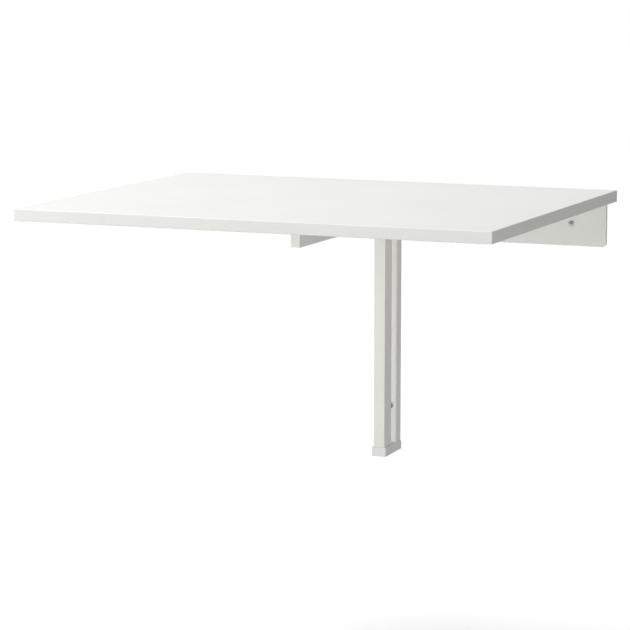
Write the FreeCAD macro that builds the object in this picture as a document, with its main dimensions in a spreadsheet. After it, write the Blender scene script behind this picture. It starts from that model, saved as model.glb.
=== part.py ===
"""Wall mounted drop leaf table: a steel wall frame, a swinging gate support and a hinged leaf.

Millimetres. The wall is the plane Y = 0 and the room is at -Y. X runs along the wall, Z is up, and the
origin is on the wall, midway along the rail, at the height of the rail's wall screws.
"""
import os

import FreeCAD, Part
import Sketcher

doc = FreeCAD.newDocument("drop_leaf_table")
sheet = doc.addObject("Spreadsheet::Sheet", "Sizes")

DRIVING_SIZES = {
    # The leaf: a coated panel with edging strips on its four sides.
    "leaf_width": 740,
    "leaf_depth": 600,
    "leaf_thickness": 18,
    "leaf_top_height": 55,
    "leaf_wall_gap": 2,
    "edging_thickness": 2,
    "edging_round": 1.5,
    # The two butt hinges between the rail's shelf and the leaf.
    "hinge_setback": 72,
    "hinge_drop": 4,
    "hinge_inset": 120,
    "hinge_length": 70,
    "hinge_sheet": 2,
    "hinge_pin_diameter": 4,
    "knuckle_gap": 0.2,
    "wing_front_reach": 38,
    "wing_back_reach": 30,
    "wing_hole_pitch": 24,
    "leaf_screw_diameter": 4,
    "leaf_screw_head": 8,
    "leaf_screw_length": 14,
    "rivet_diameter": 5,
    "rivet_head": 9,
    "rivet_head_height": 0.9,
    # The pressed wall rail and the shelf that is bent out of its top.
    "rail_inset": 16,
    "rail_drop": 35,
    "rail_standoff": 6.5,
    "rail_sheet": 1.5,
    "rail_corner": 6.5,
    "rail_edge_round": 0.8,
    "shelf_setback": 66,
    "shelf_corner": 8,
    "bend_radius": 3,
    "outer_screw_inset": 56.5,
    "inner_screw_spread": 200,
    "wall_screw_hole": 5.5,
    "dimple_diameter": 11.6,
    # The wall post: a channel that is open towards the wall.
    "post_width": 21,
    "post_depth": 18.7,
    "post_sheet": 1.5,
    "post_corner": 2,
    "post_screw_rise": 59.9,
    "spacer_diameter": 14,
    # The moulded foot that closes the post and carries the lower pivot.
    "foot_width": 24,
    "foot_length": 71,
    "foot_height": 15.2,
    "foot_drop": 383.4,
    "foot_heel_lift": 1.5,
    "foot_corner": 0.8,
    "foot_rim_round": 0.6,
    "foot_under_round": 0.3,
    "foot_wall": 2,
    "foot_floor": 2,
    "spigot_height": 16,
    "foot_screw_diameter": 3.5,
    "foot_screw_head": 7,
    "foot_screw_head_height": 2.2,
    "foot_screw_bore": 8,
    "foot_screw_sink": 2.5,
    # The pivots of the gate.
    "pivot_setback": 55,
    "pivot_diameter": 8,
    "running_clearance": 0.05,
    "bush_diameter": 12,
    "bush_flange_diameter": 16,
    "bush_flange": 1,
    "thrust_gap": 0.1,
    "pin_end_gap": 1,
    "pin_chamfer": 0.8,
    # The gate: an upright tube and an arm tube, welded to an L.
    "upright_width": 19,
    "upright_depth": 30,
    "tube_wall": 1.5,
    "tube_corner": 1,
    "plug_flange": 1.5,
    "plug_length": 14,
    "arm_width": 15,
    "arm_height": 30,
    "arm_underside_drop": 6,
    "arm_tip_inset": 8,
    "cap_flange": 2.5,
    "cap_plug_length": 18,
    "head_length": 26,
    "head_gap": 0.3,
    "head_round": 1.5,
    "cap_edge_round": 0.6,
    "head_side_gap": 8,
    # The pad under the leaf that the arm's head bears on.
    "pad_diameter": 24,
    "pad_thickness": 2,
}

WORKED_OUT_SIZES = {
    "leaf_half": "leaf_width / 2",
    "leaf_under": "leaf_top_height - leaf_thickness",
    "leaf_back_y": "-leaf_wall_gap",
    "leaf_front_y": "leaf_back_y - leaf_depth",
    "core_half": "leaf_half - edging_thickness",
    "core_back_y": "leaf_back_y - edging_thickness",
    "core_front_y": "leaf_front_y + edging_thickness",
    "hinge_half": "leaf_half - hinge_inset",
    "hinge_y": "-hinge_setback",
    "hinge_z": "leaf_under - hinge_drop",
    "knuckle_radius": "hinge_drop - knuckle_gap",
    "knuckle_diameter": "2 * knuckle_radius",
    "knuckle_pitch": "hinge_length / 5",
    "knuckle_length": "knuckle_pitch - knuckle_gap",
    "barrel_bore": "hinge_pin_diameter + 2 * running_clearance",
    "fixed_wing_under": "hinge_z - knuckle_radius",
    "fixed_wing_front_y": "hinge_y + knuckle_radius + knuckle_gap",
    "fixed_wing_back_y": "hinge_y + wing_back_reach",
    "moving_wing_under": "leaf_under - hinge_sheet",
    "moving_wing_back_y": "hinge_y - knuckle_radius - knuckle_gap",
    "moving_wing_front_y": "hinge_y - wing_front_reach",
    "leaf_screw_y": "(moving_wing_back_y + moving_wing_front_y) / 2",
    "leaf_screw_cone": "(leaf_screw_head - leaf_screw_diameter) / 2",
    "rivet_y": "(shelf_front_y + fixed_wing_back_y) / 2",
    "shelf_under": "fixed_wing_under + hinge_sheet",
    "shelf_top": "shelf_under + rail_sheet",
    "rivet_grip": "shelf_top - fixed_wing_under",
    "shelf_half": "leaf_half - arm_tip_inset - head_length - head_side_gap",
    "shelf_front_y": "-shelf_setback",
    "rail_half": "leaf_half - rail_inset",
    "rail_bottom": "-rail_drop",
    "rail_front_y": "-rail_standoff",
    "rail_hollow": "rail_standoff - rail_sheet",
    "rail_inner_half": "rail_half - rail_sheet",
    "rail_inner_bottom": "rail_bottom + rail_sheet",
    "rail_inner_corner": "rail_corner - rail_sheet",
    "dimple_depth": "(dimple_diameter - wall_screw_hole) / 2",
    "boss_front": "dimple_diameter + 2 * rail_sheet",
    "boss_back": "wall_screw_hole + 2 * rail_sheet",
    "outer_screw_half": "rail_half - outer_screw_inset",
    "inner_screw_half": "inner_screw_spread / 2",
    "post_half": "post_width / 2",
    "post_inner_half": "post_half - post_sheet",
    "post_front_y": "-post_depth",
    "post_inner_y": "post_sheet - post_depth",
    "post_height": "shelf_under - foot_top",
    "post_bend_y": "rail_front_y - bend_radius",
    "post_bend_z": "shelf_under - bend_radius",
    "post_screw_z": "foot_top + post_screw_rise",
    "spacer_length": "post_depth - post_sheet",
    "foot_half": "foot_width / 2",
    "foot_bottom": "-foot_drop",
    "foot_top": "foot_bottom + foot_height",
    "foot_heel": "foot_bottom + foot_heel_lift",
    "foot_front_y": "-foot_length",
    "core_depth": "foot_height - foot_wall",
    "core_half_width": "foot_half - foot_wall",
    "core_wall_y": "-foot_wall",
    "core_socket_y": "pivot_y + bush_flange_radius + foot_wall",
    "core_rib_y": "(core_wall_y + core_socket_y) / 2",
    "core_rib_back_y": "core_rib_y + foot_wall / 2",
    "core_rib_front_y": "core_rib_y - foot_wall / 2",
    "foot_screw_z": "foot_top + spigot_height / 2",
    "foot_screw_seat_y": "-foot_screw_sink",
    "foot_screw_grip": "post_depth - foot_screw_sink",
    "pivot_y": "-pivot_setback",
    "pivot_radius": "pivot_diameter / 2",
    "bush_bore": "pivot_radius + running_clearance",
    "bush_radius": "bush_diameter / 2",
    "bush_flange_radius": "bush_flange_diameter / 2",
    "lower_bush_bottom": "foot_bottom + foot_floor",
    "lower_flange_under": "foot_top - bush_flange",
    "socket_depth": "foot_top - lower_bush_bottom",
    "upper_bush_bottom": "shelf_under - bush_flange",
    "upper_bush_top": "shelf_top + bush_flange / 2",
    "upright_half": "upright_width / 2",
    "upright_front_y": "pivot_y - upright_depth / 2",
    "upright_back_y": "pivot_y + upright_depth / 2",
    "upright_inner_half": "upright_half - tube_wall",
    "upright_inner_front_y": "upright_front_y + tube_wall",
    "upright_inner_back_y": "upright_back_y - tube_wall",
    "lower_plug_bottom": "foot_top + thrust_gap",
    "upright_bottom": "lower_plug_bottom + plug_flange",
    "upright_length": "arm_top - upright_bottom",
    "upper_plug_bottom": "arm_top - plug_length",
    "lower_pin_bottom": "lower_bush_bottom + pin_end_gap",
    "lower_pin_top": "upright_bottom + plug_length",
    "lower_pin_length": "lower_pin_top - lower_pin_bottom",
    "upper_pin_top": "upper_bush_top + pin_end_gap",
    "upper_pin_length": "upper_pin_top - upper_plug_bottom",
    "arm_half": "arm_width / 2",
    "arm_inner_half": "arm_half - tube_wall",
    "arm_bottom": "-arm_underside_drop",
    "arm_top": "arm_bottom + arm_height",
    "arm_inner_bottom": "arm_bottom + tube_wall",
    "arm_inner_top": "arm_top - tube_wall",
    "arm_reach": "pivot_setback + leaf_half - arm_tip_inset",
    "arm_start": "pivot_setback + upright_depth / 2",
    "arm_tube_end": "arm_reach - cap_flange",
    "arm_length": "arm_tube_end - arm_start",
    "cap_plug_start": "arm_tube_end - cap_plug_length",
    "head_back_y": "head_length - arm_reach",
    "cap_front_y": "-arm_reach",
    "cap_flange_y": "-arm_tube_end",
    "pad_under": "leaf_under - pad_thickness",
    "pad_y": "(head_back_y + cap_front_y) / 2",
    "head_top": "pad_under - head_gap",
}


def fill_sheet():
    """Writes one row for each size: its name, its number or its formula, and its alias."""
    rows = [(name, str(number)) for name, number in DRIVING_SIZES.items()]
    rows += [(name, "=" + rule) for name, rule in WORKED_OUT_SIZES.items()]
    for row, (name, content) in enumerate(rows, start=1):
        sheet.set(f"A{row}", name)
        sheet.set(f"B{row}", content)
        sheet.setAlias(f"B{row}", name)
    doc.recompute()


def size(name):
    """The number that a sheet name, or its negative, stands for."""
    if name.startswith("-"):
        return -size(name[1:])
    return float(sheet.get(name))


def formula(name):
    """The expression that binds a property to a sheet name, to its negative or to 0."""
    if name == 0:
        return "0"
    if name.startswith("-"):
        return "-Sizes." + name[1:]
    return "Sizes." + name


def bind(target, prop, name):
    target.setExpression(prop, formula(name))


def place(target, x=None, y=None, z=None):
    """Binds the place of an object, axis by axis."""
    for axis, name in (("x", x), ("y", y), ("z", z)):
        if name:
            bind(target, f"Placement.Base.{axis}", name)


def new_body(label):
    body = doc.addObject("PartDesign::Body", label)
    body.Label = label
    return body


def new_sketch(body, plane, level=None):
    """A sketch on one of the body's own planes, moved along that plane's normal by a named level."""
    sketch = body.newObject("Sketcher::SketchObject", f"{body.Name}_sketch")
    support = [feature for feature in body.Origin.OriginFeatures if feature.Role == plane]
    sketch.AttachmentSupport = (support[0], [""])
    sketch.MapMode = "FlatFace"
    if level:
        bind(sketch, "AttachmentOffset.Base.z", level)
    return sketch


def hold_point(sketch, line, kind, axis, name):
    """Holds the start of a line at a named distance from the sketch's origin, or on its axis for 0."""
    if name == 0:
        sketch.addConstraint(Sketcher.Constraint("PointOnObject", line, 1, axis))
        return
    index = sketch.addConstraint(Sketcher.Constraint(kind, -1, 1, line, 1, size(name)))
    sketch.setExpression(f"Constraints[{index}]", formula(name))


def draw_outline(sketch, corners):
    """Draws a closed outline through corners, each a pair of sheet names, and constrains it fully."""
    first = sketch.GeometryCount
    spots = []
    for across, up in corners:
        spots.append(FreeCAD.Vector(size(across) if across else 0, size(up) if up else 0, 0))
    count = len(spots)
    for index, spot in enumerate(spots):
        sketch.addGeometry(Part.LineSegment(spot, spots[(index + 1) % count]), False)
    for index in range(count):
        following = first + (index + 1) % count
        sketch.addConstraint(Sketcher.Constraint("Coincident", first + index, 2, following, 1))
    for index, (across, up) in enumerate(corners):
        hold_point(sketch, first + index, "DistanceX", -2, across)
        hold_point(sketch, first + index, "DistanceY", -1, up)


def rectangle(left, right, low, high):
    return [(left, low), (right, low), (right, high), (left, high)]


def add_pad(body, sketch, length, middle=False):
    pad = body.newObject("PartDesign::Pad", f"{body.Name}_pad")
    pad.Profile = sketch
    bind(pad, "Length", length)
    pad.Midplane = middle
    body.Tip = pad
    return pad


def add_pocket(body, sketch, depth, along_normal):
    """Cuts a pocket to a named depth, along the sketch's normal or against it."""
    doc.recompute()
    before = body.Shape.Volume
    pocket = body.newObject("PartDesign::Pocket", f"{body.Name}_pocket")
    pocket.Profile = sketch
    bind(pocket, "Length", depth)
    pocket.Reversed = along_normal
    body.Tip = pocket
    doc.recompute()
    if body.Shape.Volume >= before:
        raise RuntimeError(f"{pocket.Name} cuts nothing")


def round_edges(body, radius, wanted):
    """Rounds the edges of the body that a test picks, by a named radius."""
    doc.recompute()
    base = body.Tip
    names = [f"Edge{index}" for index, edge in enumerate(base.Shape.Edges, start=1) if wanted(edge)]
    fillet = body.newObject("PartDesign::Fillet", f"{body.Name}_fillet")
    fillet.Base = (base, names)
    bind(fillet, "Radius", radius)
    body.Tip = fillet
    doc.recompute()


def runs_along(edge, axis):
    """Tells whether an edge is straight and parallel to an axis."""
    if edge.Curve.TypeId != "Part::GeomLine":
        return False
    return abs(abs(getattr(edge.Curve.Direction, axis)) - 1) < 1e-6


def lies_at(edge, axis, name):
    """Tells whether the middle of an edge is at a named coordinate."""
    return abs(getattr(edge.CenterOfMass, axis) - size(name)) < 1e-4


def turned(label, half_outline):
    """A piece turned about its own Z axis from a half outline of radius and height pairs."""
    body = new_body(label)
    sketch = new_sketch(body, "XZ_Plane")
    draw_outline(sketch, half_outline)
    turn = body.newObject("PartDesign::Revolution", f"{label}_turn")
    turn.Profile = sketch
    turn.ReferenceAxis = (sketch, ["V_Axis"])
    turn.Angle = 360
    body.Tip = turn
    return body


AXES = {
    "up": FreeCAD.Rotation(),
    "to_wall": FreeCAD.Rotation(FreeCAD.Vector(1, 0, 0), -90),
    "to_right": FreeCAD.Rotation(FreeCAD.Vector(0, 1, 0), 90),
}


def cylinder(name, diameter, height, axis):
    """A cylinder of a named diameter and height, pointing up, to the wall or to the right."""
    round_bar = doc.addObject("Part::Cylinder", name)
    round_bar.setExpression("Radius", f"{formula(diameter)} / 2")
    bind(round_bar, "Height", height)
    round_bar.Placement = FreeCAD.Placement(FreeCAD.Vector(), AXES[axis])
    return round_bar


def cone(name, start_diameter, end_diameter, height, axis):
    taper = doc.addObject("Part::Cone", name)
    taper.setExpression("Radius1", f"{formula(start_diameter)} / 2")
    taper.setExpression("Radius2", f"{formula(end_diameter)} / 2")
    bind(taper, "Height", height)
    taper.Placement = FreeCAD.Placement(FreeCAD.Vector(), AXES[axis])
    return taper


def block(name, x, y, z):
    """A box between three pairs of sheet names. A pair that starts with None is placed by its caller."""
    box = doc.addObject("Part::Box", name)
    for prop, axis, (low, high) in (("Length", "x", x), ("Width", "y", y), ("Height", "z", z)):
        box.setExpression(prop, f"{formula(high)} - ({formula(low)})" if low else formula(high))
        if low:
            bind(box, f"Placement.Base.{axis}", low)
    return box


def fused(name, shapes):
    union = doc.addObject("Part::MultiFuse", name)
    union.Shapes = shapes
    return union


def cut(name, base, tool):
    remainder = doc.addObject("Part::Cut", name)
    remainder.Base = base
    remainder.Tool = tool
    return remainder


def grouped(name, shapes):
    group = doc.addObject("Part::Compound", name)
    group.Links = shapes
    return group


pieces = []


def keep(label, piece):
    """Lists a finished sub-part under the name of its file."""
    piece.Label = label
    pieces.append(piece)
    return piece


def leaf_fasteners():
    """The countersunk screws that hold the moving hinge wings to the leaf, three to a hinge."""
    screws = []
    for side in (-1, 1):
        for place_in_row in (-1, 0, 1):
            head = cone("screw_head", "leaf_screw_head", "leaf_screw_diameter", "leaf_screw_cone", "up")
            shank = cylinder("screw_shank", "leaf_screw_diameter", "leaf_screw_length", "up")
            screw = fused("leaf_screw", [head, shank])
            across = f"{side} * Sizes.hinge_half + {place_in_row} * Sizes.wing_hole_pitch"
            screw.setExpression("Placement.Base.x", across)
            place(screw, y="leaf_screw_y", z="moving_wing_under")
            screws.append(screw)
    return keep("leaf_screws", grouped("leaf_screws", screws))


def hinge_rivets():
    """The rivets that hold the fixed hinge wings under the shelf, three to a hinge."""
    rivets = []
    for side in (-1, 1):
        for place_in_row in (-1, 0, 1):
            lower_head = cylinder("rivet_lower_head", "rivet_head", "rivet_head_height", "up")
            lower_head.setExpression("Placement.Base.z", "Sizes.fixed_wing_under - Sizes.rivet_head_height")
            upper_head = cylinder("rivet_upper_head", "rivet_head", "rivet_head_height", "up")
            place(upper_head, z="shelf_top")
            shank = cylinder("rivet_shank", "rivet_diameter", "rivet_grip", "up")
            place(shank, z="fixed_wing_under")
            rivet = fused("hinge_rivet", [lower_head, shank, upper_head])
            across = f"{side} * Sizes.hinge_half + {place_in_row} * Sizes.wing_hole_pitch"
            rivet.setExpression("Placement.Base.x", across)
            place(rivet, y="rivet_y")
            rivets.append(rivet)
    return keep("hinge_rivets", grouped("hinge_rivets", rivets))


def leaf_panel(screws):
    """The board of the leaf, drilled from below for the hinge screws."""
    body = new_body("leaf_board")
    sketch = new_sketch(body, "XY_Plane", "leaf_under")
    draw_outline(sketch, rectangle("-core_half", "core_half", "core_front_y", "core_back_y"))
    add_pad(body, sketch, "leaf_thickness")
    keep("leaf_panel", cut("leaf_panel", body, screws))


def edging(label, x, y, outer_axis, outer_name, corners):
    """One edging strip. Its outer edges are rounded, and so are its upright corners where it has them."""
    body = new_body(label)
    sketch = new_sketch(body, "XY_Plane", "leaf_under")
    draw_outline(sketch, rectangle(*x, *y))
    add_pad(body, sketch, "leaf_thickness")
    long_axis = "x" if outer_axis == "y" else "y"

    def is_outer(edge):
        along = runs_along(edge, long_axis) or (corners and runs_along(edge, "z"))
        return along and lies_at(edge, outer_axis, outer_name)

    round_edges(body, "edging_round", is_outer)
    keep(label, body)


def leaf_rest_pad():
    """The bearing pad, stuck under the leaf where the arm's head carries it."""
    pad = cylinder("leaf_rest_pad", "pad_diameter", "pad_thickness", "up")
    place(pad, y="pad_y", z="pad_under")
    keep("leaf_rest_pad", pad)


def leaf_edgings():
    """Strips on the four sides: the front and back ones run through, the side ones lie between them."""
    through = ("-leaf_half", "leaf_half")
    between = ("core_front_y", "core_back_y")
    edging("front_edging", through, ("leaf_front_y", "core_front_y"), "y", "leaf_front_y", True)
    edging("back_edging", through, ("core_back_y", "leaf_back_y"), "y", "leaf_back_y", True)
    edging("right_edging", ("core_half", "leaf_half"), between, "x", "leaf_half", False)
    edging("left_edging", ("-leaf_half", "-core_half"), between, "x", "-leaf_half", False)


def hinge_wing(name, side, knuckles, y, z, tab_y, holes):
    """A hinge wing: a plate, its rolled knuckles with the tabs that join them, and the pin's bore.

    The knuckles are numbered from 0 to 4 along the barrel. The holes are cut by the fasteners themselves.
    """
    start = f"{side} * Sizes.hinge_half - Sizes.hinge_length / 2"
    plate = block(f"{name}_plate", (None, "hinge_length"), y, z)
    plate.setExpression("Placement.Base.x", start)
    shapes = [plate]
    for number in knuckles:
        knuckle_start = f"{start} + {number} * Sizes.knuckle_pitch + Sizes.knuckle_gap / 2"
        barrel = cylinder(f"{name}_knuckle", "knuckle_diameter", "knuckle_length", "to_right")
        barrel.setExpression("Placement.Base.x", knuckle_start)
        place(barrel, y="hinge_y", z="hinge_z")
        tab = block(f"{name}_tab", (None, "knuckle_length"), tab_y, z)
        tab.setExpression("Placement.Base.x", knuckle_start)
        shapes += [barrel, tab]
    bore = cylinder(f"{name}_bore", "barrel_bore", "hinge_length", "to_right")
    bore.setExpression("Placement.Base.x", start)
    place(bore, y="hinge_y", z="hinge_z")
    bored = cut(f"{name}_bored", fused(f"{name}_blank", shapes), bore)
    keep(name, cut(name, bored, holes))


def hinges(screws, rivets):
    """Two butt hinges, each a fixed wing, a moving wing and a pin."""
    fixed_y = ("fixed_wing_front_y", "fixed_wing_back_y")
    fixed_z = ("fixed_wing_under", "shelf_under")
    moving_y = ("moving_wing_front_y", "moving_wing_back_y")
    moving_z = ("moving_wing_under", "leaf_under")
    for side_name, side in (("left", -1), ("right", 1)):
        fixed_tab = ("hinge_y", "fixed_wing_front_y")
        hinge_wing(f"fixed_hinge_wing_{side_name}", side, (0, 2, 4), fixed_y, fixed_z, fixed_tab, rivets)
        moving_tab = ("moving_wing_back_y", "hinge_y")
        hinge_wing(f"moving_hinge_wing_{side_name}", side, (1, 3), moving_y, moving_z, moving_tab, screws)
        pin = cylinder(f"hinge_pin_{side_name}", "hinge_pin_diameter", "hinge_length", "to_right")
        pin.setExpression("Placement.Base.x", f"{side} * Sizes.hinge_half - Sizes.hinge_length / 2")
        place(pin, y="hinge_y", z="hinge_z")
        keep(f"hinge_pin_{side_name}", pin)


def screw_seat(front_y, depth):
    """The conical seat of a wall screw's head and its hole, from a named front face back to the wall."""
    seat = cone("screw_seat", "dimple_diameter", "wall_screw_hole", "dimple_depth", "to_wall")
    hole = cylinder("wall_hole", "wall_screw_hole", depth, "to_wall")
    for shape in (seat, hole):
        place(shape, y=front_y)
    return fused("screw_seat_and_hole", [seat, hole])


def wall_rail(rivets):
    """The pressed rail: an open-backed tray with a shelf bent forward out of its top.

    Its wall screws sit in dimples that are pressed back to the wall.
    """
    body = new_body("rail_pressing")
    face = new_sketch(body, "XZ_Plane")
    draw_outline(face, rectangle("-rail_half", "rail_half", "rail_bottom", "shelf_top"))
    add_pad(body, face, "rail_standoff")
    hollow = new_sketch(body, "XZ_Plane")
    draw_outline(hollow, rectangle("-rail_inner_half", "rail_inner_half", "rail_inner_bottom", "shelf_under"))
    add_pocket(body, hollow, "rail_hollow", True)

    def is_corner_at(level):
        return lambda edge: runs_along(edge, "y") and lies_at(edge, "z", level)

    round_edges(body, "rail_inner_corner", is_corner_at("rail_inner_bottom"))
    round_edges(body, "rail_corner", is_corner_at("rail_bottom"))

    def is_front_rim(edge):
        return lies_at(edge, "y", "rail_front_y") and not lies_at(edge, "z", "shelf_top")

    round_edges(body, "rail_edge_round", is_front_rim)
    shelf = new_sketch(body, "XY_Plane", "shelf_under")
    draw_outline(shelf, rectangle("-shelf_half", "shelf_half", "shelf_front_y", "rail_front_y"))
    add_pad(body, shelf, "rail_sheet")

    def is_shelf_corner(edge):
        return runs_along(edge, "z") and lies_at(edge, "y", "shelf_front_y")

    round_edges(body, "shelf_corner", is_shelf_corner)

    def is_bend(edge):
        inside = lies_at(edge, "y", "rail_front_y") and lies_at(edge, "z", "shelf_under")
        return inside and runs_along(edge, "x")

    round_edges(body, "bend_radius", is_bend)
    bosses = []
    holes = []
    for half_spread in ("outer_screw_half", "inner_screw_half"):
        for side in (-1, 1):
            across = f"{side} * Sizes.{half_spread}"
            boss = cone("dimple_boss", "boss_front", "boss_back", "rail_hollow", "to_wall")
            place(boss, y="-rail_hollow")
            seat = screw_seat("rail_front_y", "rail_standoff")
            for shape in (boss, seat):
                shape.setExpression("Placement.Base.x", across)
            bosses.append(boss)
            holes.append(seat)
    bush_hole = cylinder("bush_hole", "bush_diameter", "rail_sheet", "up")
    place(bush_hole, y="pivot_y", z="shelf_under")
    holes.append(bush_hole)
    pressing = fused("rail_with_bosses", [body] + bosses)
    drilled = cut("rail_drilled", pressing, fused("rail_holes", holes))
    keep("wall_rail", cut("wall_rail", drilled, rivets))


def wall_post(foot_fixing, wall_fixing):
    """The channel, notched over the rail and its bend, with holes in its web for the two screws."""
    body = new_body("post_channel")
    section = new_sketch(body, "XY_Plane", "foot_top")
    draw_outline(section, [
        ("-post_half", 0),
        ("-post_half", "post_front_y"),
        ("post_half", "post_front_y"),
        ("post_half", 0),
        ("post_inner_half", 0),
        ("post_inner_half", "post_inner_y"),
        ("-post_inner_half", "post_inner_y"),
        ("-post_inner_half", 0),
    ])
    add_pad(body, section, "post_height")

    def is_front_corner(edge):
        return runs_along(edge, "z") and lies_at(edge, "y", "post_front_y")

    round_edges(body, "post_corner", is_front_corner)
    across = ("-post_half", "post_half")
    notch = block("rail_notch", across, ("rail_front_y", 0), ("rail_bottom", "shelf_under"))
    relief = block("bend_relief", across, ("post_bend_y", "rail_front_y"), ("post_bend_z", "shelf_under"))
    cuts = fused("post_cuts", [notch, relief, foot_fixing, wall_fixing])
    keep("wall_post", cut("wall_post", body, cuts))


def post_spacer(wall_fixing):
    """The sleeve round the post's wall screw, between the wall and the web. It carries the screw's head."""
    sleeve = cylinder("spacer_sleeve", "spacer_diameter", "spacer_length", "to_wall")
    place(sleeve, y="post_inner_y", z="post_screw_z")
    keep("post_spacer", cut("post_spacer", sleeve, wall_fixing))


def foot_screw():
    """The pan screw that goes from behind through the foot's spigot into the post's web."""
    head = cylinder("foot_screw_pan", "foot_screw_head", "foot_screw_head_height", "to_wall")
    place(head, y="foot_screw_seat_y")
    shank = cylinder("foot_screw_shank", "foot_screw_diameter", "foot_screw_grip", "to_wall")
    place(shank, y="post_front_y")
    for shape in (head, shank):
        place(shape, z="foot_screw_z")
    return keep("foot_screw", fused("foot_screw", [head, shank]))


def pivot_foot(screw):
    """The moulded foot, cored from below. Its underside rises a little towards the wall."""
    body = new_body("foot_moulding")
    side = new_sketch(body, "YZ_Plane")
    draw_outline(side, [
        ("foot_front_y", "foot_bottom"),
        (0, "foot_heel"),
        (0, "foot_top"),
        ("foot_front_y", "foot_top"),
    ])
    add_pad(body, side, "foot_width", middle=True)

    def is_front_corner(edge):
        return runs_along(edge, "z") and lies_at(edge, "y", "foot_front_y")

    def is_top_rim(edge):
        return lies_at(edge, "z", "foot_top") and edge.CenterOfMass.y < -1e-4

    def is_under_rim(edge):
        return edge.CenterOfMass.z < size("foot_heel") and edge.CenterOfMass.y < -1e-4

    round_edges(body, "foot_corner", is_front_corner)
    round_edges(body, "foot_rim_round", is_top_rim)
    round_edges(body, "foot_under_round", is_under_rim)
    cores = new_sketch(body, "XY_Plane", "foot_bottom")
    draw_outline(cores, rectangle("-core_half_width", "core_half_width", "core_rib_back_y", "core_wall_y"))
    draw_outline(cores, rectangle("-core_half_width", "core_half_width", "core_socket_y", "core_rib_front_y"))
    add_pocket(body, cores, "core_depth", True)
    spigot = new_sketch(body, "XY_Plane", "foot_top")
    draw_outline(spigot, rectangle("-post_inner_half", "post_inner_half", "post_inner_y", 0))
    add_pad(body, spigot, "spigot_height")
    socket = cylinder("bush_socket", "bush_diameter", "socket_depth", "up")
    place(socket, y="pivot_y", z="lower_bush_bottom")
    flange_seat = cylinder("bush_flange_seat", "bush_flange_diameter", "bush_flange", "up")
    place(flange_seat, y="pivot_y", z="lower_flange_under")
    head_bore = cylinder("screw_head_bore", "foot_screw_bore", "foot_screw_sink", "to_wall")
    place(head_bore, y="foot_screw_seat_y", z="foot_screw_z")
    cuts = fused("foot_cuts", [socket, flange_seat, head_bore, screw])
    keep("pivot_foot", cut("pivot_foot", body, cuts))


def bushes():
    """The flanged plastic bushes of the gate's two pivots."""
    lower = turned("lower_bush", [
        ("bush_bore", "lower_bush_bottom"),
        ("bush_radius", "lower_bush_bottom"),
        ("bush_radius", "lower_flange_under"),
        ("bush_flange_radius", "lower_flange_under"),
        ("bush_flange_radius", "foot_top"),
        ("bush_bore", "foot_top"),
    ])
    upper = turned("upper_bush", [
        ("bush_bore", "upper_bush_bottom"),
        ("bush_flange_radius", "upper_bush_bottom"),
        ("bush_flange_radius", "shelf_under"),
        ("bush_radius", "shelf_under"),
        ("bush_radius", "upper_bush_top"),
        ("bush_bore", "upper_bush_top"),
    ])
    for bush in (lower, upper):
        place(bush, y="pivot_y")
        keep(bush.Label, bush)


def pivot_pins():
    """The steel pins that are pressed into the upright's plugs and turn in the bushes."""
    pins = []
    for name, low in (("lower", "lower_pin_bottom"), ("upper", "upper_plug_bottom")):
        bar = cylinder(f"{name}_pin_bar", "pivot_diameter", f"{name}_pin_length", "up")
        place(bar, y="pivot_y", z=low)
        ends = doc.addObject("Part::Chamfer", f"{name}_pivot_pin")
        ends.Base = bar
        doc.recompute()
        chamfer = size("pin_chamfer")
        rims = [index for index, edge in enumerate(bar.Shape.Edges, start=1) if edge.isClosed()]
        ends.Edges = [(index, chamfer, chamfer) for index in rims]
        pins.append(keep(f"{name}_pivot_pin", ends))
    return pins


def gate_upright():
    """The upright: a rectangular steel tube with rounded corners."""
    body = new_body("gate_upright")
    section = new_sketch(body, "XY_Plane", "upright_bottom")
    draw_outline(section, rectangle("-upright_half", "upright_half", "upright_front_y", "upright_back_y"))
    draw_outline(section, rectangle("-upright_inner_half", "upright_inner_half",
                                    "upright_inner_front_y", "upright_inner_back_y"))
    add_pad(body, section, "upright_length")

    def is_outer_corner(edge):
        return runs_along(edge, "z") and abs(abs(edge.CenterOfMass.x) - size("upright_half")) < 1e-4

    round_edges(body, "tube_corner", is_outer_corner)
    keep("gate_upright", body)


def upright_plug(name, flange_level, plug_level, pin):
    """An end plug: a flange over the tube's end, a block inside the tube, and the pin's hole."""
    body = new_body(f"{name}_moulding")
    flange = new_sketch(body, "XY_Plane", flange_level)
    draw_outline(flange, rectangle("-upright_half", "upright_half", "upright_front_y", "upright_back_y"))
    add_pad(body, flange, "plug_flange")
    round_edges(body, "tube_corner", lambda edge: runs_along(edge, "z"))
    inside = new_sketch(body, "XY_Plane", plug_level)
    draw_outline(inside, rectangle("-upright_inner_half", "upright_inner_half",
                                   "upright_inner_front_y", "upright_inner_back_y"))
    add_pad(body, inside, "plug_length")
    keep(name, cut(name, body, pin))


def gate_arm():
    """The arm: a rectangular steel tube, butt welded to the front of the upright."""
    body = new_body("gate_arm")
    section = new_sketch(body, "XZ_Plane", "arm_start")
    draw_outline(section, rectangle("-arm_half", "arm_half", "arm_bottom", "arm_top"))
    draw_outline(section, rectangle("-arm_inner_half", "arm_inner_half", "arm_inner_bottom", "arm_inner_top"))
    add_pad(body, section, "arm_length")

    def is_outer_corner(edge):
        return runs_along(edge, "y") and abs(abs(edge.CenterOfMass.x) - size("arm_half")) < 1e-4

    round_edges(body, "tube_corner", is_outer_corner)
    keep("gate_arm", body)


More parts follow.
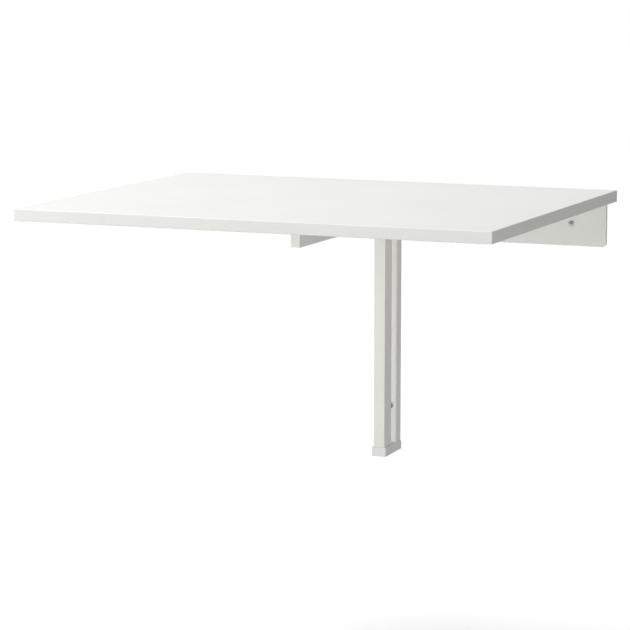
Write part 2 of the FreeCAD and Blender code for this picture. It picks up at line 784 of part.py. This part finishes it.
def arm_end_cap():
    """The arm's moulded cap: a plug, a flange over the tube's end, and a raised head that bears the leaf."""
    body = new_body("arm_end_cap")
    side = new_sketch(body, "YZ_Plane")
    draw_outline(side, [
        ("cap_front_y", "arm_bottom"),
        ("cap_flange_y", "arm_bottom"),
        ("cap_flange_y", "arm_top"),
        ("head_back_y", "arm_top"),
        ("head_back_y", "head_top"),
        ("cap_front_y", "head_top"),
    ])
    add_pad(body, side, "arm_width", True)

    def is_front_edge(edge):
        below_crown = edge.CenterOfMass.z < size("head_top") - size("head_round")
        return below_crown and lies_at(edge, "y", "cap_front_y")

    round_edges(body, "head_round", lambda edge: lies_at(edge, "z", "head_top"))
    round_edges(body, "cap_edge_round", is_front_edge)
    plug = new_sketch(body, "XZ_Plane", "cap_plug_start")
    draw_outline(plug, rectangle("-arm_inner_half", "arm_inner_half", "arm_inner_bottom", "arm_inner_top"))
    add_pad(body, plug, "cap_plug_length")
    keep("arm_end_cap", body)


def check_and_write():
    """Stops on any failed object or bad shape, then writes one STEP file for each sub-part."""
    doc.recompute()
    for item in doc.Objects:
        if "Invalid" in item.State or "Error" in item.State:
            raise RuntimeError(f"{item.Name} failed: {item.State}")
    os.makedirs("parts", exist_ok=True)
    for piece in pieces:
        shape = piece.Shape
        if shape.isNull() or not shape.isValid() or not shape.Solids:
            raise RuntimeError(f"{piece.Label} has no valid solid")
    for piece in pieces:
        piece.Shape.exportStep(f"parts/{piece.Label}.step")
        print(piece.Label, len(piece.Shape.Solids), round(piece.Shape.Volume))


fill_sheet()
screws = leaf_fasteners()
rivets = hinge_rivets()
post_to_foot = foot_screw()
wall_rail(rivets)
post_to_wall = screw_seat("post_front_y", "post_depth")
place(post_to_wall, z="post_screw_z")
wall_post(post_to_foot, post_to_wall)
post_spacer(post_to_wall)
pivot_foot(post_to_foot)
bushes()
lower_pin, upper_pin = pivot_pins()
gate_upright()
upright_plug("upright_bottom_plug", "lower_plug_bottom", "upright_bottom", lower_pin)
upright_plug("upright_top_plug", "arm_top", "upper_plug_bottom", upper_pin)
gate_arm()
arm_end_cap()
hinges(screws, rivets)
leaf_panel(screws)
leaf_rest_pad()
leaf_edgings()
check_and_write()
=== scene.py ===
import math

import bmesh
import bpy
from mathutils import Matrix, Vector


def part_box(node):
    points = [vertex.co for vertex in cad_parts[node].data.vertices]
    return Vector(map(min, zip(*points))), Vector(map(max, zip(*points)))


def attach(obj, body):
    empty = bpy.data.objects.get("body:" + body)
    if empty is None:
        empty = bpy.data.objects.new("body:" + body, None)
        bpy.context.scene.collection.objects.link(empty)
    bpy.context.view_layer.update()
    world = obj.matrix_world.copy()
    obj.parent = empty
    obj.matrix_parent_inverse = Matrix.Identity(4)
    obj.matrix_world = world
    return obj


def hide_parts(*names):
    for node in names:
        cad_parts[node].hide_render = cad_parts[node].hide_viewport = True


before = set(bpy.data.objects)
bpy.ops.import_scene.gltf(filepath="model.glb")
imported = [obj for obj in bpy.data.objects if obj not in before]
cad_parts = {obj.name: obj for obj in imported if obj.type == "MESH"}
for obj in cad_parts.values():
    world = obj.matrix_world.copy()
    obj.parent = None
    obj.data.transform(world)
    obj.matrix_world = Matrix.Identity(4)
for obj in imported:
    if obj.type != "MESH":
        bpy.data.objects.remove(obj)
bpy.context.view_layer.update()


# The wall rail is one pressing of 1.5 mm sheet steel, an open-backed tray with a shelf bent out of
# its top. Its white powder coat has flowed out in the oven to a low, fine orange peel.
grain_low = 0.3
grain_high = 0.7


def new_finish(name):
    """Makes a material with nodes."""
    finish = bpy.data.materials.new(name)
    finish.use_nodes = True
    return finish


def shader_of(finish):
    """The shader of a material's surface."""
    return finish.node_tree.nodes["Principled BSDF"]


def grain(tree, per_metre, detail):
    """A noise of so many spots to the metre. Its value is mostly between grain_low and grain_high."""
    place = tree.nodes.new("ShaderNodeTexCoord")
    noise = tree.nodes.new("ShaderNodeTexNoise")
    noise.inputs["Scale"].default_value = per_metre
    noise.inputs["Detail"].default_value = detail
    tree.links.new(place.outputs["Object"], noise.inputs["Vector"])
    return noise.outputs["Fac"]


def tint(finish, dark, light, per_metre, detail):
    """Moves the colour between two close tones, from spot to spot of a grain."""
    tree = finish.node_tree
    tones = tree.nodes.new("ShaderNodeValToRGB")
    tones.color_ramp.elements[0].position = grain_low
    tones.color_ramp.elements[0].color = (*dark, 1)
    tones.color_ramp.elements[1].position = grain_high
    tones.color_ramp.elements[1].color = (*light, 1)
    tree.links.new(grain(tree, per_metre, detail), tones.inputs["Fac"])
    tree.links.new(tones.outputs["Color"], shader_of(finish).inputs["Base Color"])


def polish(finish, smoothest, roughest, per_metre, detail):
    """Moves the roughness between two values, from spot to spot of a grain."""
    tree = finish.node_tree
    spread = tree.nodes.new("ShaderNodeMapRange")
    spread.inputs["From Min"].default_value = grain_low
    spread.inputs["From Max"].default_value = grain_high
    spread.inputs["To Min"].default_value = smoothest
    spread.inputs["To Max"].default_value = roughest
    tree.links.new(grain(tree, per_metre, detail), spread.inputs["Value"])
    tree.links.new(spread.outputs["Result"], shader_of(finish).inputs["Roughness"])


def relief(finish, strength, height, per_metre, detail):
    """Raises the spots of a grain by a height in metres."""
    tree = finish.node_tree
    bump = tree.nodes.new("ShaderNodeBump")
    bump.inputs["Strength"].default_value = strength
    bump.inputs["Distance"].default_value = height
    tree.links.new(grain(tree, per_metre, detail), bump.inputs["Height"])
    tree.links.new(bump.outputs["Normal"], shader_of(finish).inputs["Normal"])


powder_coat = new_finish("powder_coat")
tint(powder_coat, dark=(0.855, 0.85, 0.802), light=(0.885, 0.88, 0.834), per_metre=14, detail=3)
polish(powder_coat, smoothest=0.38, roughest=0.48, per_metre=90, detail=4)
relief(powder_coat, strength=0.25, height=0.0001, per_metre=750, detail=2)
shader_of(powder_coat).inputs["Specular IOR Level"].default_value = 0.45


def dress(node, finish):
    """Gives a CAD node its finish."""
    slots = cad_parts[node].data.materials
    slots.clear()
    slots.append(finish)


dress("wall_rail", powder_coat)


# The wall post is a channel folded from the same sheet, with its open side to the wall. It is
# notched over the rail and welded to it, one bead down each side, before both are coated.
dress("wall_post", powder_coat)
rail_face = -0.0065
post_weld_bottom = -0.031
post_weld_top = 0.027
bead_radius = 0.0011
bead_end_radius = bead_radius / 2
drop_swell = 0.12
rings_per_drop = 4


def lathe(outline, steps):
    """Spins an outline of (radius, height) points round the Z axis."""
    shape = bmesh.new()
    points = [shape.verts.new((radius, 0, height)) for radius, height in outline]
    lines = [shape.edges.new(pair) for pair in zip(points, points[1:])]
    bmesh.ops.spin(
        shape, geom=points + lines, axis=(0, 0, 1), cent=(0, 0, 0), angle=math.tau, steps=steps,
        use_merge=True,
    )
    bmesh.ops.remove_doubles(shape, verts=shape.verts, dist=1e-6)
    bmesh.ops.recalc_face_normals(shape, faces=shape.faces)
    return shape


def bead(start, end, drops):
    """A weld bead between two points, with the swell of each drop of metal and narrower ends."""
    run = Vector(end) - Vector(start)
    rings = drops * rings_per_drop
    outline = [(0, 0), (bead_end_radius, 0)]
    for ring in range(1, rings):
        swell = 1 + drop_swell * math.sin(math.tau * ring / rings_per_drop)
        outline.append((bead_radius * swell, run.length * ring / rings))
    outline += [(bead_end_radius, run.length), (0, run.length)]
    shape = lathe(outline, steps=12)
    turn = Vector((0, 0, 1)).rotation_difference(run).to_matrix()
    bmesh.ops.rotate(shape, verts=shape.verts, cent=(0, 0, 0), matrix=turn)
    bmesh.ops.translate(shape, verts=shape.verts, vec=start)
    return shape


def add_piece(name, shapes, finish, body):
    """Joins shapes to one piece that rides on a body, smooth but for its real edges."""
    real_edge = math.radians(32)
    mesh = bpy.data.meshes.new(name)
    whole = bmesh.new()
    for shape in shapes:
        shape.to_mesh(mesh)
        whole.from_mesh(mesh)
        shape.free()
    for face in whole.faces:
        face.smooth = True
    for edge in whole.edges:
        edge.smooth = edge.calc_face_angle(0) < real_edge
    whole.to_mesh(mesh)
    whole.free()
    mesh.materials.append(finish)
    piece = bpy.data.objects.new(name, mesh)
    bpy.context.scene.collection.objects.link(piece)
    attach(piece, body)
    return piece


post_low, post_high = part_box("wall_post")
post_beads = []
for side in (post_low.x, post_high.x):
    bottom = (side, rail_face, post_weld_bottom)
    top = (side, rail_face, post_weld_top)
    post_beads.append(bead(bottom, top, drops=22))
add_piece("post_welds", post_beads, powder_coat, "wall_frame")


# The wall screws are zinc plated, with raised countersunk heads and a cross recess. Four sit in
# the rail's dimples and one in the post; the model ends them at the wall's face.
zinc_plate = new_finish("zinc_plate")
tint(zinc_plate, dark=(0.40, 0.405, 0.41), light=(0.50, 0.50, 0.49), per_metre=160, detail=3)
polish(zinc_plate, smoothest=0.26, roughest=0.42, per_metre=420, detail=4)
relief(zinc_plate, strength=0.2, height=0.00005, per_metre=1600, detail=3)
shader_of(zinc_plate).inputs["Metallic"].default_value = 1
punch_taper = 0.45
burr = 2e-6


def punch_cross(shape, top, span, width, depth):
    """Punches a tapered cross into a screw that stands on the Z axis, from its head's top down."""
    mesh = bpy.data.meshes.new("screw_blank")
    shape.to_mesh(mesh)
    shape.free()
    blank = bpy.data.objects.new("screw_blank", mesh)
    bpy.context.scene.collection.objects.link(blank)
    for length, breadth in ((span, width), (width, span)):
        punch_shape = bmesh.new()
        bmesh.ops.create_cube(punch_shape, size=1)
        bmesh.ops.scale(punch_shape, verts=punch_shape.verts, vec=(length, breadth, depth * 2))
        bmesh.ops.translate(punch_shape, verts=punch_shape.verts, vec=(0, 0, top))
        tip = [vert for vert in punch_shape.verts if vert.co.z < top]
        bmesh.ops.scale(punch_shape, verts=tip, vec=(punch_taper, punch_taper, 1))
        punch_mesh = bpy.data.meshes.new("punch")
        punch_shape.to_mesh(punch_mesh)
        punch_shape.free()
        punch = bpy.data.objects.new("punch", punch_mesh)
        bpy.context.scene.collection.objects.link(punch)
        blow = blank.modifiers.new("blow", "BOOLEAN")
        blow.operation = "DIFFERENCE"
        blow.object = punch
        struck = blank.evaluated_get(bpy.context.evaluated_depsgraph_get())
        blank.data = bpy.data.meshes.new_from_object(struck)
        blank.modifiers.clear()
        bpy.data.objects.remove(punch)
    screw = bmesh.new()
    screw.from_mesh(blank.data)
    bpy.data.objects.remove(blank)
    bmesh.ops.remove_doubles(screw, verts=screw.verts, dist=burr)
    bmesh.ops.dissolve_degenerate(screw, edges=screw.edges, dist=burr)
    return screw


wall_head_top = 0.0066
wall_screw_outline = (
    (0, wall_head_top), (0.0016, 0.0065), (0.0032, 0.00625), (0.0043, 0.0059), (0.0049, 0.0056),
    (0.0023, 0.0030), (0.0023, 0), (0, 0),
)
post_seat = 0.0122
wall_screw_places = (
    (-0.2975, 0, 0, 0.6),
    (-0.1, 0, 0, 0.25),
    (0.1, 0, 0, 0.9),
    (0.2975, 0, 0, 0.03),
    (0, -0.3083, post_seat, 0.1),
)
wall_screws = []
for across, height, seat, turn in wall_screw_places:
    outline = [(radius, tall + seat if tall else 0) for radius, tall in wall_screw_outline]
    turned = lathe(outline, steps=40)
    screw = punch_cross(turned, top=wall_head_top + seat, span=0.0072, width=0.0018, depth=0.0028)
    set_up = Matrix.Rotation(math.pi / 2, 3, "X") @ Matrix.Rotation(turn, 3, "Z")
    bmesh.ops.rotate(screw, verts=screw.verts, cent=(0, 0, 0), matrix=set_up)
    bmesh.ops.translate(screw, verts=screw.verts, vec=(across, 0, height))
    wall_screws.append(screw)
add_piece("wall_screws", wall_screws, zinc_plate, "wall_frame")


# The foot is moulded in white plastic, in a tool with a fine spark texture. It closes the post,
# carries the gate's lower pivot and stands against the wall. The spacer and both bushes are of
# the same plastic.
moulded_plastic = new_finish("moulded_plastic")
tint(moulded_plastic, dark=(0.83, 0.835, 0.798), light=(0.86, 0.865, 0.829), per_metre=30, detail=3)
polish(moulded_plastic, smoothest=0.42, roughest=0.55, per_metre=260, detail=3)
relief(moulded_plastic, strength=0.3, height=0.00008, per_metre=2200, detail=2)
for node in ("pivot_foot", "post_spacer", "lower_bush", "upper_bush"):
    dress(node, moulded_plastic)


# The foot screw is a small pan head screw of plated steel. It goes from behind through the foot's
# spigot into the post's web, and its head lies in a bore below the wall's face.
foot_low, foot_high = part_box("foot_screw")
pan_top = 0.0184
pan_seat = 0.0162
foot_shank = 0.00172
pan_outline = (
    (0, pan_top), (0.0018, 0.0183), (0.0028, 0.0179), (0.0034, 0.0172), (0.0035, pan_seat),
    (foot_shank, pan_seat), (foot_shank, 0.0010), (0.0010, 0), (0, 0),
)
foot_screw = punch_cross(lathe(pan_outline, steps=36), top=pan_top, span=0.0052, width=0.0014, depth=0.0016)
set_in = Matrix.Rotation(-math.pi / 2, 3, "X")
bmesh.ops.rotate(foot_screw, verts=foot_screw.verts, cent=(0, 0, 0), matrix=set_in)
foot_middle = (foot_low + foot_high) / 2
bmesh.ops.translate(foot_screw, verts=foot_screw.verts, vec=(0, foot_low.y, foot_middle.z))
piece = add_piece("foot_screw_pan_head", [foot_screw], zinc_plate, "wall_frame")
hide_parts("foot_screw")


# The two butt hinges are zinc plated steel. Each has a wing under the rail's shelf, a wing under
# the leaf and a plain pin through their rolled knuckles.
for side in ("left", "right"):
    dress("fixed_hinge_wing_" + side, zinc_plate)
    dress("moving_hinge_wing_" + side, zinc_plate)
    dress("hinge_pin_" + side, zinc_plate)


# Three rivets hold each fixed wing to the shelf. They are zinc plated steel, and their heads are
# closed to a low dome on both sides.
hinge_middles = (-0.25, 0.25)
hinge_hole_steps = (-0.024, 0, 0.024)
rivet_row = -0.054
rivet_shank = 0.00245
dome_height = 0.0009
dome = (
    (0, dome_height), (0.0016, 0.0008), (0.0030, 0.00055), (0.0041, 0.0002), (0.0045, 0),
)
rivet_low, rivet_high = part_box("hinge_rivets")
rivet_length = rivet_high.z - rivet_low.z
upper_seat = rivet_length - dome_height
lower_dome = [(radius, dome_height - tall) for radius, tall in dome]
upper_dome = [(radius, upper_seat + tall) for radius, tall in reversed(dome)]
rivet_outline = lower_dome + [(rivet_shank, dome_height), (rivet_shank, upper_seat)] + upper_dome
rivets = []
for middle in hinge_middles:
    for along in hinge_hole_steps:
        rivet = lathe(rivet_outline, steps=32)
        bmesh.ops.translate(rivet, verts=rivet.verts, vec=(middle + along, rivet_row, rivet_low.z))
        rivets.append(rivet)
piece = add_piece("domed_hinge_rivets", rivets, zinc_plate, "wall_frame")
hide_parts("hinge_rivets")


# The gate is an upright and an arm of rectangular steel tube, welded to an L and coated as one.
# The beads run along all four sides of the arm where it meets the upright's front.
dress("gate_upright", powder_coat)
dress("gate_arm", powder_coat)
arm_low, arm_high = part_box("gate_arm")
seam = arm_high.y
corner_gap = 0.002
arm_beads = []
for side in (arm_low.x, arm_high.x):
    bottom = (side, seam, arm_low.z + corner_gap)
    top = (side, seam, arm_high.z - corner_gap)
    arm_beads.append(bead(bottom, top, drops=11))
for height in (arm_low.z, arm_high.z):
    left = (arm_low.x + corner_gap, seam, height)
    right = (arm_high.x - corner_gap, seam, height)
    arm_beads.append(bead(left, right, drops=5))
add_piece("arm_welds", arm_beads, powder_coat, "gate")


# Moulded plugs close the upright and hold its two steel pins. A moulded cap closes the arm, and
# its raised head carries the leaf. They are of the foot's plastic.
for node in ("upright_top_plug", "upright_bottom_plug", "arm_end_cap"):
    dress(node, moulded_plastic)
dress("upper_pivot_pin", zinc_plate)
dress("lower_pivot_pin", zinc_plate)


# The leaf is an 18 mm board with a satin white coating on both faces, a little cooler in tone than
# the steel's. The coating has a faint pearl from its press plate.
board_coating = new_finish("board_coating")
tint(board_coating, dark=(0.795, 0.795, 0.765), light=(0.82, 0.82, 0.79), per_metre=5, detail=3)
polish(board_coating, smoothest=0.46, roughest=0.54, per_metre=60, detail=4)
relief(board_coating, strength=0.18, height=0.00006, per_metre=1300, detail=2)
shader_of(board_coating).inputs["Specular IOR Level"].default_value = 0.2
dress("leaf_panel", board_coating)


# The edging is a 2 mm plastic strip, glued to the board's four sides. Its edges are rounded by a
# scraper, and its face keeps a faint ripple.
edging_strip = new_finish("edging_strip")
tint(edging_strip, dark=(0.79, 0.795, 0.755), light=(0.815, 0.82, 0.78), per_metre=8, detail=3)
polish(edging_strip, smoothest=0.40, roughest=0.48, per_metre=120, detail=3)
relief(edging_strip, strength=0.1, height=0.00006, per_metre=500, detail=2)
shader_of(edging_strip).inputs["Specular IOR Level"].default_value = 0.14
for node in ("front_edging", "back_edging", "left_edging", "right_edging"):
    dress(node, edging_strip)


# Six countersunk screws of plated steel hold the moving wings to the board's underside. They have
# a cross recess, and no two in a row have stopped at the same turn.
leaf_screw_row = -0.093
middle_turn = 0.5
turn_per_metre = 40
screw_low, screw_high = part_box("leaf_screws")
screw_length = screw_high.z - screw_low.z
leaf_screw_outline = (
    (0, screw_length), (0.0040, screw_length), (0.0020, screw_length - 0.0020), (0.0019, 0.003), (0, 0),
)
leaf_screws = []
for middle in hinge_middles:
    for along in hinge_hole_steps:
        turned = lathe(leaf_screw_outline, steps=36)
        screw = punch_cross(turned, top=screw_length, span=0.0056, width=0.0015, depth=0.0016)
        last_turn = Matrix.Rotation(middle_turn + turn_per_metre * along, 3, "Z")
        head_down = Matrix.Rotation(math.pi, 3, "X")
        bmesh.ops.rotate(screw, verts=screw.verts, cent=(0, 0, 0), matrix=head_down @ last_turn)
        bmesh.ops.translate(screw, verts=screw.verts, vec=(middle + along, leaf_screw_row, screw_high.z))
        leaf_screws.append(screw)
piece = add_piece("countersunk_leaf_screws", leaf_screws, zinc_plate, "leaf")
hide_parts("leaf_screws")


# The rest pad is a round of grey rubber, stuck to the leaf where the arm's head bears. Its edge is
# worn round.
pad_rubber = new_finish("pad_rubber")
tint(pad_rubber, dark=(0.21, 0.21, 0.21), light=(0.29, 0.29, 0.28), per_metre=220, detail=4)
polish(pad_rubber, smoothest=0.7, roughest=0.85, per_metre=500, detail=3)
relief(pad_rubber, strength=0.4, height=0.0001, per_metre=1500, detail=4)
pad_low, pad_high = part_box("leaf_rest_pad")
pad_middle = (pad_low + pad_high) / 2
pad_radius = 0.0120
pad_thickness = 0.0020
pad_outline = (
    (0, 0), (0.0108, 0), (0.0114, 0.0002), (0.0118, 0.0005), (pad_radius, 0.0010),
    (pad_radius, pad_thickness), (0, pad_thickness),
)
pad = lathe(pad_outline, steps=64)
bmesh.ops.translate(pad, verts=pad.verts, vec=(pad_middle.x, pad_middle.y, pad_low.z))
piece = add_piece("round_rest_pad", [pad], pad_rubber, "leaf")
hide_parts("leaf_rest_pad")


# The camera stands to the right of the table, a little above its top. Its lens is long, so that
# the leaf's edges run nearly parallel.
eye = (1.62488, -4.28387, 0.51098)
camera = bpy.data.objects.new("camera", bpy.data.cameras.new("camera"))
bpy.context.scene.collection.objects.link(camera)
camera.data.lens = 163.38
camera.data.sensor_width = 36
yaw = Matrix.Rotation(math.radians(22.393), 4, "Z")
pitch = Matrix.Rotation(math.radians(90 - 8.373), 4, "X")
roll = Matrix.Rotation(math.radians(0.058), 4, "Z")
camera.matrix_world = Matrix.Translation(eye) @ yaw @ pitch @ roll
bpy.context.scene.camera = camera


# Three large soft lamps light the table: the main one from above, two weaker ones from the front,
# to its left and right, low enough to reach under the leaf. These two leave no glare on its top.
table_middle = Vector((0, -0.3, -0.1))
lamp_width = 1.8
for name, spot, watts, glares in (
    ("top_lamp", (-1.2, -0.7, 2.9), 85, True),
    ("left_lamp", (-1.9, -1.9, 0), 32.5, False),
    ("right_lamp", (1.5, -3.1, -0.35), 39.5, False),
):
    lamp = bpy.data.lights.new(name, "AREA")
    lamp.shape = "DISK"
    lamp.size = lamp_width
    lamp.energy = watts
    stand = bpy.data.objects.new(name, lamp)
    stand.visible_glossy = glares
    bpy.context.scene.collection.objects.link(stand)
    aim = (table_middle - Vector(spot)).to_track_quat("-Z", "Y")
    stand.matrix_world = Matrix.Translation(spot) @ aim.to_matrix().to_4x4()


# The floor is plain and white, at a table's usual height below the leaf. Far off it shows as the
# same white as the backdrop, and it keeps the table's shadow. Its own glow is weaker near the
# table, where the lamps light it more.
floor_height = -0.675
floor_reach = 40
far_glow = 0.885
near_loss = 0.75
loss_spread = 4


def work_out(tree, operation, first, second):
    """The result of a sum on two values, each a number or the output of a node."""
    step = tree.nodes.new("ShaderNodeMath")
    step.operation = operation
    for socket, value in zip(step.inputs, (first, second)):
        if isinstance(value, bpy.types.NodeSocket):
            tree.links.new(value, socket)
        else:
            socket.default_value = value
    return step.outputs["Value"]


def shows_white(tree):
    """1 for rays that come from the camera, from gloss or through glass."""
    path = tree.nodes.new("ShaderNodeLightPath")
    either = path.outputs["Is Camera Ray"]
    for kind in ("Is Glossy Ray", "Is Transmission Ray"):
        either = work_out(tree, "MAXIMUM", either, path.outputs[kind])
    return either


floor_shape = bmesh.new()
bmesh.ops.create_grid(floor_shape, x_segments=1, y_segments=1, size=floor_reach)
bmesh.ops.translate(floor_shape, verts=floor_shape.verts, vec=(0, 0, floor_height))
floor_mesh = bpy.data.meshes.new("floor")
floor_shape.to_mesh(floor_mesh)
floor_shape.free()
floor = bpy.data.objects.new("floor", floor_mesh)
bpy.context.scene.collection.objects.link(floor)
floor_paint = new_finish("floor_paint")
tint(floor_paint, dark=(0.5, 0.5, 0.5), light=(0.52, 0.52, 0.52), per_metre=2, detail=2)
shader = shader_of(floor_paint)
shader.inputs["Roughness"].default_value = 0.9
shader.inputs["Specular IOR Level"].default_value = 0
tree = floor_paint.node_tree
place = tree.nodes.new("ShaderNodeTexCoord").outputs["Object"]
squared = tree.nodes.new("ShaderNodeVectorMath")
squared.operation = "DOT_PRODUCT"
tree.links.new(place, squared.inputs[0])
tree.links.new(place, squared.inputs[1])
spread = work_out(tree, "ADD", loss_spread, squared.outputs["Value"])
loss = work_out(tree, "DIVIDE", near_loss, spread)
paint_glow = work_out(tree, "SUBTRACT", far_glow, loss)
seen_glow = work_out(tree, "MULTIPLY", paint_glow, shows_white(tree))
glow = tree.nodes.new("ShaderNodeEmission")
tree.links.new(seen_glow, glow.inputs["Strength"])
both = tree.nodes.new("ShaderNodeAddShader")
tree.links.new(shader.outputs["BSDF"], both.inputs[0])
tree.links.new(glow.outputs["Emission"], both.inputs[1])
tree.links.new(both.outputs["Shader"], tree.nodes["Material Output"].inputs["Surface"])
floor_mesh.materials.append(floor_paint)


# The studio round it is white, and it shows as white in the steel's gloss too. To the table itself
# it gives an even, weaker light from all sides.
studio_light = 0.247
studio = bpy.data.worlds.new("studio")
bpy.context.scene.world = studio
studio.use_nodes = True
tree = studio.node_tree
backdrop = tree.nodes["Background"]
strength = tree.nodes.new("ShaderNodeMapRange")
strength.inputs["To Min"].default_value = studio_light
strength.inputs["To Max"].default_value = 1
tree.links.new(shows_white(tree), strength.inputs["Value"])
tree.links.new(strength.outputs["Result"], backdrop.inputs["Strength"])
backdrop.inputs["Color"].default_value = (1, 1, 1, 1)
bpy.context.scene.view_settings.view_transform = "Standard"
